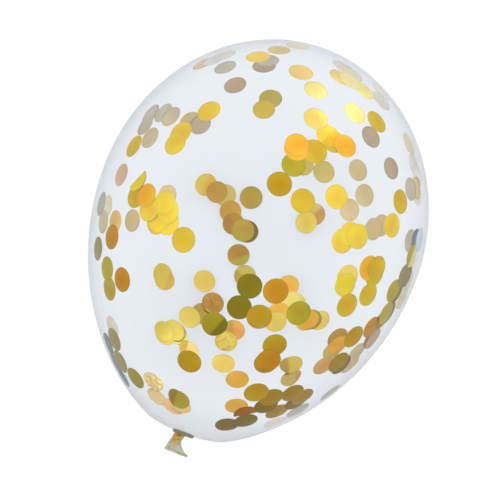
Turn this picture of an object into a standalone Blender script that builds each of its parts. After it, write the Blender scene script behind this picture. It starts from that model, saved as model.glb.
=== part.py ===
"""A clear latex confetti balloon, blown up and knotted, lying on its side.

The latex is one piece from the crown to the rolled lip, so it is one object. The bulb is sealed by the
knot and is modelled solid, and the tail beyond the knot is an open mouth with walls of its own.

Metres, +Z up. The balloon is modelled upright, crown up, round the Z axis of an empty at its widest
station. That empty lays it down with the crown towards +Y. Z = 0 is the surface that it lies on, and the
origin is under the middle of its length and width.
"""

import math

import bmesh
import bpy
from mathutils import Vector

# Bulb, turned round the balloon's axis
BULB_RADIUS = 0.148  # at the widest station
CROWN_LENGTH = 0.1658  # widest station to the crown
NECK_LENGTH = 0.1995  # widest station to the collar
TAPER_OVERRUN = 0.0061  # the taper's curve would close this far past the collar
TAPER_POWER = 1.224  # 1 would be half an ellipse, and more draws the taper in
BASE_ROUNDING = 0.0075  # height over which the taper turns in to the collar
FLAT_SPOT_RADIUS = 0.028  # keeps the balloon from rolling

# Collar, the roll of gathered latex round the top of the knot
COLLAR_RADIUS = 0.0099
COLLAR_THICKNESS = 0.0022

# Knot: a leaning stem with one strand wrapped round it
KNOT_WIDTH = 0.0098
KNOT_DEPTH = 0.0082
KNOT_LENGTH = 0.0150
KNOT_OFFSET = -0.0026  # across, where it leaves the collar
KNOT_LEAN = -0.0020  # further across at its foot
KNOT_FOOT_WIDTH = 0.0066
KNOT_FOOT_DEPTH = 0.0042
WRAP_STRAND = 0.0036  # thickness of the strand
WRAP_DROP = 0.0058  # collar to the middle of the strand
WRAP_TILT = math.radians(24)

# Tail: the end of the neck, flattened and flared, with a rolled lip
TAIL_DROP = 0.0078  # collar to where the tail comes out of the knot
LIP_DROP = 0.0185  # collar to the middle of the rolled lip
TAIL_LEFT, TAIL_RIGHT = -0.0082, 0.0004  # its edges across, at the knot
LIP_LEFT, LIP_RIGHT = -0.0108, 0.0098  # the same, at the lip
LEFT_FLARE, RIGHT_FLARE = 0.5, 1.8  # under 1 flares at once, over 1 flares late
TAIL_THICKNESS = 0.0070  # front to back, at the knot
LIP_THICKNESS = 0.0062  # front to back, at the lip
TAIL_WALL = 0.0007
MOUTH_DEPTH = 0.0065
BEAD = 0.0020  # thickness of the rolled lip
FLATNESS = 2.5  # how straight the tail's flattened sides are
PLEATS = 5
PLEAT_HEIGHT = 0.0005

# Facets
TURNED_STEPS = 64
CROWN_POINTS = 15
TAPER_POINTS = 17
ROUNDING_POINTS = 5
RIM_POINTS = 5
KNOT_SIDES, KNOT_RINGS = 20, 8
WRAP_SIDES, WRAP_STEPS = 8, 24
TAIL_SIDES, TAIL_RINGS = 36, 8
BEAD_SIDES = 8
CUT_MARGIN = 0.001  # how far a cutter runs past what it cuts

# Worked out from the sizes above
COLLAR_Z = -NECK_LENGTH
AXIS_HEIGHT = math.sqrt(BULB_RADIUS**2 - FLAT_SPOT_RADIUS**2)
LENGTH = CROWN_LENGTH + NECK_LENGTH + LIP_DROP + BEAD / 2
WIDEST_Y = LENGTH / 2 - CROWN_LENGTH


def clear_scene():
    for old in list(bpy.data.objects):
        bpy.data.objects.remove(old, do_unlink=True)


def collection(name, hidden=False):
    made = bpy.data.collections.new(name)
    bpy.context.scene.collection.children.link(made)
    made.hide_render = hidden
    return made


def laid_down():
    """The empty at the widest station, which lays the upright balloon on its side with its crown to +Y."""
    empty = bpy.data.objects.new("balloon_axis", None)
    empty.location = (0, WIDEST_Y, AXIS_HEIGHT)
    empty.rotation_euler = (-math.pi / 2, 0, 0)
    balloon_parts.objects.link(empty)
    return empty


def clear_latex():
    material = bpy.data.materials.new("clear_latex")
    material.use_nodes = True
    shader = material.node_tree.nodes["Principled BSDF"]
    shader.inputs["Base Color"].default_value = (0.90, 0.92, 0.95, 1)
    shader.inputs["Roughness"].default_value = 0.12
    shader.inputs["Metallic"].default_value = 0
    shader.inputs["Alpha"].default_value = 0.35
    return material


def add_object(name, mesh, home):
    mesh.materials.append(latex)
    mesh.shade_smooth()
    made = bpy.data.objects.new(name, mesh)
    made.parent = axis
    home.objects.link(made)
    if home is tools:
        made.hide_render = True
        made.display_type = "WIRE"
    return made


def use_as_tool(primitive, name):
    """Moves a primitive, as Blender adds it, to the shaping tools."""
    primitive.name = name
    for home in list(primitive.users_collection):
        home.objects.unlink(primitive)
    tools.objects.link(primitive)
    primitive.data.materials.append(latex)
    primitive.hide_render = True
    primitive.display_type = "WIRE"
    return primitive


def share(index, count):
    return index / (count - 1)


def mix(start, end, amount):
    return start + (end - start) * amount


def taper_radius(drop):
    """The bulb's radius this far below the widest station."""
    close = NECK_LENGTH + TAPER_OVERRUN
    return BULB_RADIUS * math.cos(math.asin(drop / close)) ** TAPER_POWER


def bulb_profile():
    """(radius, height) points from the crown down the outer side to the underside of the collar."""
    points = []
    for i in range(CROWN_POINTS):
        turn = share(i, CROWN_POINTS) * math.pi / 2
        points.append((BULB_RADIUS * math.sin(turn), CROWN_LENGTH * math.cos(turn)))

    rounding_drop = NECK_LENGTH - BASE_ROUNDING
    last_turn = math.asin(rounding_drop / (NECK_LENGTH + TAPER_OVERRUN))
    for i in range(1, TAPER_POINTS):
        drop = (NECK_LENGTH + TAPER_OVERRUN) * math.sin(last_turn * share(i, TAPER_POINTS))
        points.append((taper_radius(drop), -drop))

    # The rounding is a quadratic curve that leaves the taper along its tangent and arrives level.
    step = BASE_ROUNDING / 100
    slope = (taper_radius(rounding_drop - step) - taper_radius(rounding_drop)) / step
    rim = COLLAR_THICKNESS / 2
    start = Vector((taper_radius(rounding_drop), -rounding_drop))
    bend = Vector((start.x - slope * BASE_ROUNDING, COLLAR_Z))
    end = Vector((COLLAR_RADIUS - rim, COLLAR_Z))
    for i in range(1, ROUNDING_POINTS + 1):
        t = i / ROUNDING_POINTS
        point = start.lerp(bend, t).lerp(bend.lerp(end, t), t)
        points.append((point.x, point.y))

    for i in range(1, RIM_POINTS + 1):
        turn = math.pi / 2 - math.pi * i / RIM_POINTS
        points.append((end.x + rim * math.cos(turn), COLLAR_Z - rim + rim * math.sin(turn)))
    points.append((0, COLLAR_Z - COLLAR_THICKNESS))
    return points


def turned_bulb():
    mesh = bpy.data.meshes.new("balloon")
    points = bulb_profile()
    edges = [(i, i + 1) for i in range(len(points) - 1)]
    mesh.from_pydata([(radius, 0, height) for radius, height in points], edges, [])
    bulb = add_object("balloon", mesh, balloon_parts)
    screw = bulb.modifiers.new("turned", "SCREW")
    screw.axis = "Z"
    screw.steps = screw.render_steps = TURNED_STEPS
    screw.use_merge_vertices = True
    screw.merge_threshold = 0.00001
    screw.use_smooth_shade = True
    return bulb


def loft(name, rings):
    """A closed solid through these rings of points, with flat ends."""
    shape = bmesh.new()
    loops = [[shape.verts.new(point) for point in ring] for ring in rings]
    sides = len(loops[0])
    for upper, lower in zip(loops, loops[1:]):
        for i in range(sides):
            j = (i + 1) % sides
            shape.faces.new((upper[i], upper[j], lower[j], lower[i]))
    shape.faces.new(loops[0])
    shape.faces.new(loops[-1])
    bmesh.ops.recalc_face_normals(shape, faces=shape.faces)
    mesh = bpy.data.meshes.new(name)
    shape.to_mesh(mesh)
    shape.free()
    return add_object(name, mesh, tools)


def oval(left, right, thickness, height, sides, pleat=0.0):
    """A ring of points at one height: two long sides between round ends, with pleats if it has any."""
    points = []
    for i in range(sides):
        turn = 2 * math.pi * i / sides
        radius = thickness / 2 + pleat * math.cos(PLEATS * turn)
        reach = (right - left - thickness) / 2 * math.tanh(FLATNESS * math.cos(turn)) / math.tanh(FLATNESS)
        x = (left + right) / 2 + reach + radius * math.cos(turn)
        points.append(Vector((x, radius * math.sin(turn), height)))
    return points


def knot_stem():
    """The stem starts inside the collar, swells, and narrows to its foot inside the tail."""
    rings = []
    for i in range(KNOT_RINGS):
        s = share(i, KNOT_RINGS)
        narrowing = s**1.5
        centre = KNOT_OFFSET + KNOT_LEAN * s
        width = mix(KNOT_WIDTH, KNOT_FOOT_WIDTH, narrowing)
        depth = mix(KNOT_DEPTH, KNOT_FOOT_DEPTH, narrowing)
        height = COLLAR_Z - COLLAR_THICKNESS / 2 - KNOT_LENGTH * s
        rings.append(oval(centre - width / 2, centre + width / 2, depth, height, KNOT_SIDES))
    return loft("knot_stem", rings)


def knot_wrap():
    """One strand that crosses the stem, as the last turn of an overhand knot does."""
    bpy.ops.mesh.primitive_torus_add(
        major_segments=WRAP_STEPS,
        minor_segments=WRAP_SIDES,
        major_radius=(KNOT_WIDTH - WRAP_STRAND) / 2 + WRAP_STRAND / 4,
        minor_radius=WRAP_STRAND / 2,
    )
    wrap = use_as_tool(bpy.context.object, "knot_wrap")
    wrap.data.shade_smooth()
    wrap.parent = axis
    wrap.location = (KNOT_OFFSET + KNOT_LEAN * WRAP_DROP / KNOT_LENGTH, 0, COLLAR_Z - WRAP_DROP)
    wrap.rotation_euler = (0, WRAP_TILT, 0)
    return wrap


def tail_ring(s, inset=0.0):
    """The tail's outline at share s of the way from the knot to the lip, set in by a wall."""
    left = mix(TAIL_LEFT, LIP_LEFT, s**LEFT_FLARE) + inset
    right = mix(TAIL_RIGHT, LIP_RIGHT, s**RIGHT_FLARE) - inset
    thickness = mix(TAIL_THICKNESS, LIP_THICKNESS, s) - 2 * inset
    height = COLLAR_Z - mix(TAIL_DROP, LIP_DROP, s)
    return oval(left, right, thickness, height, TAIL_SIDES, PLEAT_HEIGHT * (1 - s))


def tail_skirt():
    return loft("tail_skirt", [tail_ring(share(i, TAIL_RINGS)) for i in range(TAIL_RINGS)])


def tail_mouth():
    """What is cut out of the tail, from the mouth's floor to just past the lip."""
    floor = 1 - MOUTH_DEPTH / (LIP_DROP - TAIL_DROP)
    rings = [tail_ring(mix(floor, 1, share(i, TAIL_RINGS)), TAIL_WALL) for i in range(TAIL_RINGS)]
    rings.append([point - Vector((0, 0, BEAD / 2 + CUT_MARGIN)) for point in rings[-1]])
    return loft("tail_mouth", rings)


def rolled_lip():
    """A bead that follows the middle of the tail's wall round the lip."""
    line = bpy.data.curves.new("rolled_lip", "CURVE")
    line.dimensions = "3D"
    line.bevel_depth = BEAD / 2
    line.bevel_resolution = BEAD_SIDES // 2 - 2
    points = tail_ring(1, TAIL_WALL / 2)
    spline = line.splines.new("POLY")
    spline.points.add(len(points) - 1)
    for knot, point in zip(spline.points, points):
        knot.co = (*point, 1)
    spline.use_cyclic_u = True

    guide = bpy.data.objects.new("rolled_lip_guide", line)
    tools.objects.link(guide)
    bpy.context.view_layer.update()
    graph = bpy.context.evaluated_depsgraph_get()
    mesh = bpy.data.meshes.new_from_object(guide.evaluated_get(graph))
    mesh.name = "rolled_lip"
    bpy.data.objects.remove(guide, do_unlink=True)
    return add_object("rolled_lip", mesh, tools)


def floor_cutter():
    """A block under the surface that the balloon lies on. It cuts the flat spot."""
    bpy.ops.mesh.primitive_cube_add(size=1)
    block = use_as_tool(bpy.context.object, "floor_cutter")
    side = 2 * BULB_RADIUS
    block.scale = (side, side, side)
    block.location = (0, WIDEST_Y, -side / 2)
    return block


def join(target, operation, tool):
    boolean = target.modifiers.new(tool.name, "BOOLEAN")
    boolean.operation = operation
    boolean.solver = "EXACT"
    boolean.object = tool


clear_scene()
balloon_parts = collection("confetti_balloon")
tools = collection("shaping_tools", hidden=True)
latex = clear_latex()
axis = laid_down()

balloon = turned_bulb()
join(balloon, "UNION", knot_stem())
join(balloon, "UNION", knot_wrap())
join(balloon, "UNION", tail_skirt())
join(balloon, "UNION", rolled_lip())
join(balloon, "DIFFERENCE", tail_mouth())
join(balloon, "DIFFERENCE", floor_cutter())
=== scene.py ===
# %% [markdown]
# # A clear confetti balloon
# A latex balloon blown up with air, tied off with an overhand knot, with discs of gold foil inside that
# static holds against its wall. The imported CAD model comes first, because every piece here is fitted to it.
# Its box is kept, and the bulb's sizes are worked out from it.

# %% Load the imported balloon
import math
import random
from collections import namedtuple

import bmesh
import bpy
from mathutils import Matrix, Vector, noise


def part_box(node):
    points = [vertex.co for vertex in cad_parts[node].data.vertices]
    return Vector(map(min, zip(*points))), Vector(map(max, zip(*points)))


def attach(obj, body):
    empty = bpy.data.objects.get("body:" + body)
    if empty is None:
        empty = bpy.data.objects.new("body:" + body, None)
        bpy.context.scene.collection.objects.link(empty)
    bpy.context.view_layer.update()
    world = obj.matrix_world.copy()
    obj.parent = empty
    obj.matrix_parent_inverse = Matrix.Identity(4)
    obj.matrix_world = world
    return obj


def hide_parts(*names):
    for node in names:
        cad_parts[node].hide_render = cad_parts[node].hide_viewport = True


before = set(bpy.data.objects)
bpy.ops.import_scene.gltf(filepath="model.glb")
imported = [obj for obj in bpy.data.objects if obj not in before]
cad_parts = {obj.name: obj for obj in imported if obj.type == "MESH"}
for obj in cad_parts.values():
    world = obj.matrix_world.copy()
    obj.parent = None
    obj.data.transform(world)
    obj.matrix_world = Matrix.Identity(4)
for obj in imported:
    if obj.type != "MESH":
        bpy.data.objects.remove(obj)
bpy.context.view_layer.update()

balloon_low, balloon_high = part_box("balloon")
print("packed", list(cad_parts), [round(side * 1000, 1) for side in balloon_high - balloon_low], "mm")

# %% [markdown]
# ## Where things are
# The balloon lies on its side with its crown towards +Y. Every place on it is easiest to say from the
# widest station, on the axis: how far across, how far along towards the crown, and how high above the axis.
# The two lengths are the CAD model's, and the rest is worked out from its box. In the photograph the last
# three and a half centimetres of the neck lean a millimetre and a half to one side, so the axis bends there.

# %% Measure from the widest station
CROWN_LENGTH = 0.1658  # widest station to the crown
NECK_LENGTH = 0.1995  # widest station to the collar
NECK_LEAN = 0.0015  # how far the neck bends to one side
LEAN_FROM = -0.165  # where it begins to

BULB_RADIUS = (balloon_high.x - balloon_low.x) / 2
WIDEST_Y = balloon_high.y - CROWN_LENGTH
AXIS_HEIGHT = balloon_high.z - BULB_RADIUS


def mix(start, end, amount):
    return start + (end - start) * amount


def smooth_step(low, high, value):
    t = min(max((value - low) / (high - low), 0), 1)
    return t * t * (3 - 2 * t)


def at(across, along, height=0.0):
    """A place in the scene, said from the widest station on the axis."""
    lean = NECK_LEAN * smooth_step(LEAN_FROM, -NECK_LENGTH, along)
    return Vector((across + lean, WIDEST_Y + along, AXIS_HEIGHT + height))


print("widest station", tuple(round(c, 4) for c in at(0, 0)), "radius", round(BULB_RADIUS, 4))

# %% [markdown]
# ## The camera
# The photograph looks onto the balloon's side, with the crown up and to the right, from a little below the
# knot. The balloon lies down here, so the camera hangs above it and looks down, tilted towards the knot, and
# its roll gives the slant. How far back it hangs shows in the confetti: the discs on the near wall look a
# seventh wider than those on the far wall, which puts the lens a little over two metres away.

# %% Hang the camera
CAMERA_DISTANCE = 2.2  # from the middle of the axis
CAMERA_TILT = math.radians(8.5)  # off straight down, towards the knot's end
CAMERA_ROLL = math.radians(20.5)  # the slant
FRAME_SIDE = 0.4455  # how much the square picture covers at the axis

camera_data = bpy.data.cameras.new("camera")
camera_data.sensor_width = 36
camera_data.lens = camera_data.sensor_width * CAMERA_DISTANCE / FRAME_SIDE
camera = bpy.data.objects.new("camera", camera_data)
aim = Vector((0, 0, AXIS_HEIGHT))
facing = Matrix.Rotation(CAMERA_TILT, 3, "X")
camera.location = aim + facing @ Vector((0, 0, CAMERA_DISTANCE))
camera.rotation_euler = (facing @ Matrix.Rotation(CAMERA_ROLL, 3, "Z")).to_euler()
bpy.context.scene.collection.objects.link(camera)
bpy.context.scene.camera = camera
print("lens", round(camera_data.lens, 1), "mm, camera at", tuple(round(c, 3) for c in camera.location))

# %% [markdown]
# ## Small helpers for nodes
# Every material below is a tree of nodes, and a few kinds of node come back again and again. These helpers
# keep the trees short to read. Each takes plain values or the outputs of other nodes, adds one node, and
# gives back the output that the next one needs. Another turns a colour as it looks on a screen into the
# linear numbers that Blender works in.

# %% Node helpers
def feed(tree, socket, value):
    """Gives an input a plain value, or links another node's output to it."""
    if isinstance(value, bpy.types.NodeSocket):
        tree.links.new(value, socket)
    else:
        socket.default_value = value


def set_inputs(tree, node, **inputs):
    """Feeds a node's inputs. Their names are written with _ for a space."""
    for name, value in inputs.items():
        feed(tree, node.inputs[name.replace("_", " ")], value)


def add_node(tree, kind, settings=None, **inputs):
    made = tree.nodes.new(kind)
    for setting, value in (settings or {}).items():
        setattr(made, setting, value)
    set_inputs(tree, made, **inputs)
    return made


def new_material(name):
    """An empty material with a Principled shader in it. Returns the material, its tree and the shader."""
    made = bpy.data.materials.new(name)
    made.use_nodes = True
    return made, made.node_tree, made.node_tree.nodes["Principled BSDF"]


def screen(red, green, blue):
    """A screen colour, 0 to 255, as linear light with full alpha."""
    linear = [
        c / 12.92 if c <= 0.04045 else ((c + 0.055) / 1.055) ** 2.4
        for c in (red / 255, green / 255, blue / 255)
    ]
    return (*linear, 1)


print("a mid grey of 128 is", round(screen(128, 128, 128)[0], 3), "in linear light")

# %% Helpers for single nodes
def math_node(tree, operation, *values):
    made = add_node(tree, "ShaderNodeMath", {"operation": operation})
    for socket, value in zip(made.inputs, values):
        feed(tree, socket, value)
    return made.outputs["Value"]


def remap(tree, value, low, high, from_low=0.0, from_high=1.0, curve="LINEAR"):
    """Moves a value that runs from from_low to from_high, so that it runs from low to high."""
    made = add_node(
        tree,
        "ShaderNodeMapRange",
        {"interpolation_type": curve},
        Value=value,
        From_Min=from_low,
        From_Max=from_high,
        To_Min=low,
        To_Max=high,
    )
    return made.outputs["Result"]


def mix_colours(tree, share, first, second):
    """A blend of two colours. A Mix node has sockets for each kind of data, and 6, 7 and 2 are for colour."""
    made = add_node(tree, "ShaderNodeMix", {"data_type": "RGBA"}, Factor=share)
    feed(tree, made.inputs[6], first)
    feed(tree, made.inputs[7], second)
    return made.outputs[2]


def noise_value(tree, place, scale, detail, **settings):
    made = add_node(tree, "ShaderNodeTexNoise", settings, Vector=place, Scale=scale, Detail=detail)
    return made.outputs["Fac"]


def bump_normal(tree, height, strength, distance):
    made = add_node(tree, "ShaderNodeBump", Height=height, Strength=strength, Distance=distance)
    return made.outputs["Normal"]


def attribute(tree, name):
    """The outputs of a node that reads numbers or colours stored in the mesh under this name."""
    return add_node(tree, "ShaderNodeAttribute", {"attribute_name": name}).outputs


helpers = (math_node, remap, mix_colours, noise_value, bump_normal, attribute)
print("helpers", [helper.__name__ for helper in helpers])

# %% [markdown]
# ## Floor and light
# The photograph is a cut-out on white. A pale floor that also glows a little, like a lit table, gives that
# white and keeps the foil's shadows faint. The light is a bright, even sky, with a large soft box at the
# crown's side and a weaker one at the knot's side. Their reflections show that the film is glossy. The view
# transform is Standard, because Blender's default one would turn the white grey and the gold pale.

# %% Floor
FLOOR_SIDE = 12
FLOOR_GREY = 0.36
FLOOR_ROUGHNESS = 0.9
FLOOR_GLOW = 0.62
WHITE = (1, 1, 1, 1)

half = FLOOR_SIDE / 2
corners = [(-half, -half, 0), (half, -half, 0), (half, half, 0), (-half, half, 0)]
floor_mesh = bpy.data.meshes.new("studio_floor")
floor_mesh.from_pydata(corners, [], [(0, 1, 2, 3)])
floor = bpy.data.objects.new("studio_floor", floor_mesh)
bpy.context.scene.collection.objects.link(floor)

floor_material, tree, shader = new_material("pale_floor")
set_inputs(
    tree,
    shader,
    Base_Color=(FLOOR_GREY, FLOOR_GREY, FLOOR_GREY, 1),
    Roughness=FLOOR_ROUGHNESS,
    Emission_Color=WHITE,
    Emission_Strength=FLOOR_GLOW,
)
floor_mesh.materials.append(floor_material)
print("floor", FLOOR_SIDE, "m wide")

# %% Light
HORIZON, ZENITH = 0.90, 1.32  # how bright the sky is low down and overhead
SKY_COLOUR = (0.98, 0.99, 1.0, 1)
BOX_SIDE = 1.2
BOX_POWER = 5.5  # watts, at the crown's side

sky = bpy.data.worlds.new("soft_sky")
sky.use_nodes = True
tree = sky.node_tree
direction = add_node(tree, "ShaderNodeTexCoord").outputs["Generated"]
height = add_node(tree, "ShaderNodeSeparateXYZ", Vector=direction).outputs["Z"]
brightness = remap(tree, height, HORIZON, ZENITH, curve="SMOOTHSTEP")
set_inputs(tree, tree.nodes["Background"], Color=SKY_COLOUR, Strength=brightness)
bpy.context.scene.world = sky


def soft_box(name, place, power):
    """A square light at this place that faces the middle of the balloon."""
    light = bpy.data.lights.new(name, "AREA")
    light.shape = "SQUARE"
    light.size = BOX_SIDE
    light.energy = power
    made = bpy.data.objects.new(name, light)
    made.location = place
    made.rotation_euler = (at(0, 0) - Vector(place)).to_track_quat("-Z", "Y").to_euler()
    bpy.context.scene.collection.objects.link(made)


soft_box("crown_side_box", (0.8, 2.6, 0.75), BOX_POWER)
soft_box("knot_side_box", (-1.6, -0.9, 1.2), BOX_POWER / 4)
bpy.context.scene.view_settings.view_transform = "Standard"
print("sky from", HORIZON, "to", ZENITH, "and two soft boxes")

# %% [markdown]
# ## Latex finishes
# Clear latex is not quite clear. Blown thin it is a faint cold film, and where it is slack and thick, at the
# knot, it turns amber. Every latex piece shares two effects, so each is a node group: a cloudiness, because
# dipped latex is never even, and the fine wrinkles of a skin that has been stretched and let go.

# %% Node group: cloudy latex
NOISE_LOW, NOISE_HIGH = 0.3, 0.7  # nearly all of a noise lies between these two
CLOUD_DETAIL = 3.0


def new_group(name, inputs, outputs):
    """A node group and its two ends. inputs gives each name a default value, and outputs gives it a kind."""
    group = bpy.data.node_groups.new(name, "ShaderNodeTree")
    for label, value in inputs.items():
        kind = "NodeSocketColor" if isinstance(value, tuple) else "NodeSocketFloat"
        group.interface.new_socket(label, in_out="INPUT", socket_type=kind).default_value = value
    for label, kind in outputs.items():
        group.interface.new_socket(label, in_out="OUTPUT", socket_type=kind)
    return group, group.nodes.new("NodeGroupInput").outputs, group.nodes.new("NodeGroupOutput")


def cloudy_latex_group():
    """Patches of thin and thick latex: a colour between the two, and the mask that mixed it."""
    group, given, result = new_group(
        "cloudy_latex",
        inputs={"Thin Color": WHITE, "Thick Color": WHITE, "Cloud Size": 0.03},
        outputs={"Color": "NodeSocketColor", "Cloud": "NodeSocketFloat"},
    )
    place = add_node(group, "ShaderNodeTexCoord").outputs["Object"]
    scale = math_node(group, "DIVIDE", 1, given["Cloud Size"])
    cloud = remap(group, noise_value(group, place, scale, CLOUD_DETAIL), 0, 1, NOISE_LOW, NOISE_HIGH)
    colour = mix_colours(group, cloud, given["Thin Color"], given["Thick Color"])
    set_inputs(group, result, Color=colour, Cloud=cloud)
    return group


cloudy_latex = cloudy_latex_group()
print("group", cloudy_latex.name, [item.name for item in cloudy_latex.interface.items_tree])

# %% Node group: latex wrinkles
WRINKLE_STRETCH = (1, 0.25, 1)  # they are four times as long as wide, and run along the balloon
WRINKLE_DETAIL = 2.0


def latex_wrinkles_group():
    """Fine wrinkles, as a height for a Bump node."""
    group, given, result = new_group(
        "latex_wrinkles", inputs={"Wrinkle Size": 0.002}, outputs={"Height": "NodeSocketFloat"}
    )
    place = add_node(group, "ShaderNodeTexCoord").outputs["Object"]
    drawn_out = add_node(group, "ShaderNodeMapping", Vector=place, Scale=WRINKLE_STRETCH)
    ridges = noise_value(
        group,
        drawn_out.outputs["Vector"],
        math_node(group, "DIVIDE", 1, given["Wrinkle Size"]),
        WRINKLE_DETAIL,
        noise_type="RIDGED_MULTIFRACTAL",
        normalize=True,
    )
    set_inputs(group, result, Height=ridges)
    return group


latex_wrinkles = latex_wrinkles_group()
print("group", latex_wrinkles.name, [item.name for item in latex_wrinkles.interface.items_tree])

# %% [markdown]
# One function mixes those two into a latex finish. What changes from piece to piece is how thick the latex
# is there: its two colours, how much it hides, and how coarse its wrinkles are. How much it hides is a plain
# Alpha on the shader. The tail and its lip are amber where they are bunched and pale where they open out, so
# a mesh attribute named amber says how much of each.

# %% A latex finish
LATEX_IOR = 1.52
WRINKLE_STRENGTH = 0.5
CLOUD_ROUGHENING = 1.5  # how much rougher the thick patches are


def latex_colour(tree, thin, thick, cloud_size):
    """Cloudy latex between two colours. Returns the outputs Color and Cloud."""
    made = add_node(
        tree,
        "ShaderNodeGroup",
        {"node_tree": cloudy_latex},
        Thin_Color=thin,
        Thick_Color=thick,
        Cloud_Size=cloud_size,
    )
    return made.outputs


def latex_finish(name, thin, thick, alpha, roughness, cloud_size, wrinkle_size, wrinkle_depth):
    made, tree, shader = new_material(name)
    latex = latex_colour(tree, thin, thick, cloud_size)
    wrinkles = add_node(tree, "ShaderNodeGroup", {"node_tree": latex_wrinkles}, Wrinkle_Size=wrinkle_size)
    set_inputs(
        tree,
        shader,
        Base_Color=latex["Color"],
        Roughness=remap(tree, latex["Cloud"], roughness, roughness * CLOUD_ROUGHENING),
        Normal=bump_normal(tree, wrinkles.outputs["Height"], WRINKLE_STRENGTH, wrinkle_depth),
        Alpha=alpha,
        IOR=LATEX_IOR,
    )
    print("finish", name, "hides", alpha)
    return made


collar_finish = latex_finish(
    "gathered_latex",
    thin=screen(132, 124, 92),
    thick=screen(92, 86, 60),
    alpha=0.92,
    roughness=0.35,
    cloud_size=0.008,
    wrinkle_size=0.0012,
    wrinkle_depth=0.0003,
)
knot_finish = latex_finish(
    "amber_latex",
    thin=screen(192, 164, 88),
    thick=screen(166, 130, 46),
    alpha=1.0,
    roughness=0.30,
    cloud_size=0.005,
    wrinkle_size=0.0014,
    wrinkle_depth=0.0003,
)
tail_finish = latex_finish(
    "slack_latex",
    thin=screen(206, 212, 206),
    thick=screen(184, 188, 168),
    alpha=0.62,
    roughness=0.32,
    cloud_size=0.006,
    wrinkle_size=0.0016,
    wrinkle_depth=0.0004,
)
lip_finish = latex_finish(
    "rolled_latex",
    thin=screen(204, 204, 186),
    thick=screen(186, 184, 156),
    alpha=0.75,
    roughness=0.30,
    cloud_size=0.004,
    wrinkle_size=0.0012,
    wrinkle_depth=0.0002,
)

# %% Amber where the latex is bunched
STAIN_CLOUDS = 0.003  # the size of its patches


def stain(finish, thin, thick, alpha):
    """Gives a latex finish a second colour and opacity, where the mesh attribute amber asks for them."""
    tree = finish.node_tree
    shader = tree.nodes["Principled BSDF"]
    pale = shader.inputs["Base Color"].links[0].from_socket
    amber = latex_colour(tree, thin, thick, STAIN_CLOUDS)["Color"]
    share = attribute(tree, "amber")["Fac"]
    hides = remap(tree, share, shader.inputs["Alpha"].default_value, alpha)
    set_inputs(tree, shader, Base_Color=mix_colours(tree, share, pale, amber), Alpha=hides)


stain(tail_finish, thin=screen(188, 174, 112), thick=screen(176, 148, 76), alpha=0.9)
stain(lip_finish, thin=screen(176, 166, 96), thick=screen(140, 130, 64), alpha=0.95)
print("amber on", tail_finish.name, "and", lip_finish.name)

# %% [markdown]
# The blown-up film is different. Seen square on it only tints what is behind it, and towards its outline,
# where the line of sight runs along the skin, it turns milky and grey. So it is a mix of two shaders: a
# transparent one with the tint, and the latex itself. Layer Weight gives how slanted the skin is, and a
# power keeps the milky part near the outline. The wall that faces away, seen from inside the balloon, gets
# more of it than the wall that faces us, so that the milkiness lies behind the near discs and not over them.
# Near the collar the latex is stretched least, so it is thicker and hides more, again mostly on the inner
# side. The mesh says how much, in an attribute named slack.

# %% Film material
FILM_TINT = (0.918, 0.937, 0.960, 1)  # what one pass through the film lets through
FILM_LEAST = 0.02  # share of latex where the skin is seen square on
OUTER_MOST, INNER_MOST = 0.40, 1.0  # the same at the outline, on the two sides of the skin
FILM_POWER = 4.6  # the higher it is, the closer the milky part keeps to the outline
OUTER_SLACK, INNER_SLACK = 0.05, 0.21  # what the slack latex at the collar adds, on the two sides

film_finish = latex_finish(
    "clear_film",
    thin=(0.50, 0.51, 0.54, 1),
    thick=(0.44, 0.45, 0.48, 1),
    alpha=1.0,
    roughness=0.08,
    cloud_size=0.05,
    wrinkle_size=0.03,
    wrinkle_depth=0.0004,
)
tree = film_finish.node_tree
slant = add_node(tree, "ShaderNodeLayerWeight", Blend=0.5).outputs["Facing"]
inner_side = add_node(tree, "ShaderNodeNewGeometry").outputs["Backfacing"]
most = remap(tree, inner_side, OUTER_MOST, INNER_MOST)
milky = remap(tree, math_node(tree, "POWER", slant, FILM_POWER), FILM_LEAST, most)
slack_most = remap(tree, inner_side, OUTER_SLACK, INNER_SLACK)
share = math_node(tree, "MULTIPLY_ADD", attribute(tree, "slack")["Fac"], slack_most, milky)

clear = add_node(tree, "ShaderNodeBsdfTransparent", Color=FILM_TINT)
film = add_node(tree, "ShaderNodeMixShader", Fac=share)
tree.links.new(clear.outputs["BSDF"], film.inputs[1])
tree.links.new(tree.nodes["Principled BSDF"].outputs["BSDF"], film.inputs[2])
tree.links.new(film.outputs["Shader"], tree.nodes["Material Output"].inputs["Surface"])
print("film", film_finish.name, "from", FILM_LEAST, "to", OUTER_MOST, "and", INNER_MOST, "latex")

# %% [markdown]
# ## The bulb
# The blown-up film is a shape of revolution, so it is turned from one outline: half an ellipse at the crown,
# a longer and slimmer taper towards the neck, and a tight curve in to the collar. The film is far thinner
# than a millimetre, so it is one closed skin rather than a wall with two faces, and a ray meets it once on
# the way in and once on the way out.

# %% Outline of the bulb
TAPER_OVERRUN = 0.0061  # the taper's curve would close this far past the collar
TAPER_LENGTH = NECK_LENGTH + TAPER_OVERRUN
TAPER_POWER = 1.224  # 1 would be an ellipse, and more is slimmer
BASE_ROUNDING = 0.0075  # height over which the taper turns in to the collar
COLLAR_RADIUS = 0.0099
COLLAR_THICKNESS = 0.0022
CROWN_RINGS = 44
TAPER_RINGS = 60
ROUNDING_RINGS = 10


def taper_radius(drop):
    """The bulb's radius this far below the widest station."""
    return BULB_RADIUS * math.cos(math.asin(drop / TAPER_LENGTH)) ** TAPER_POWER


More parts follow.
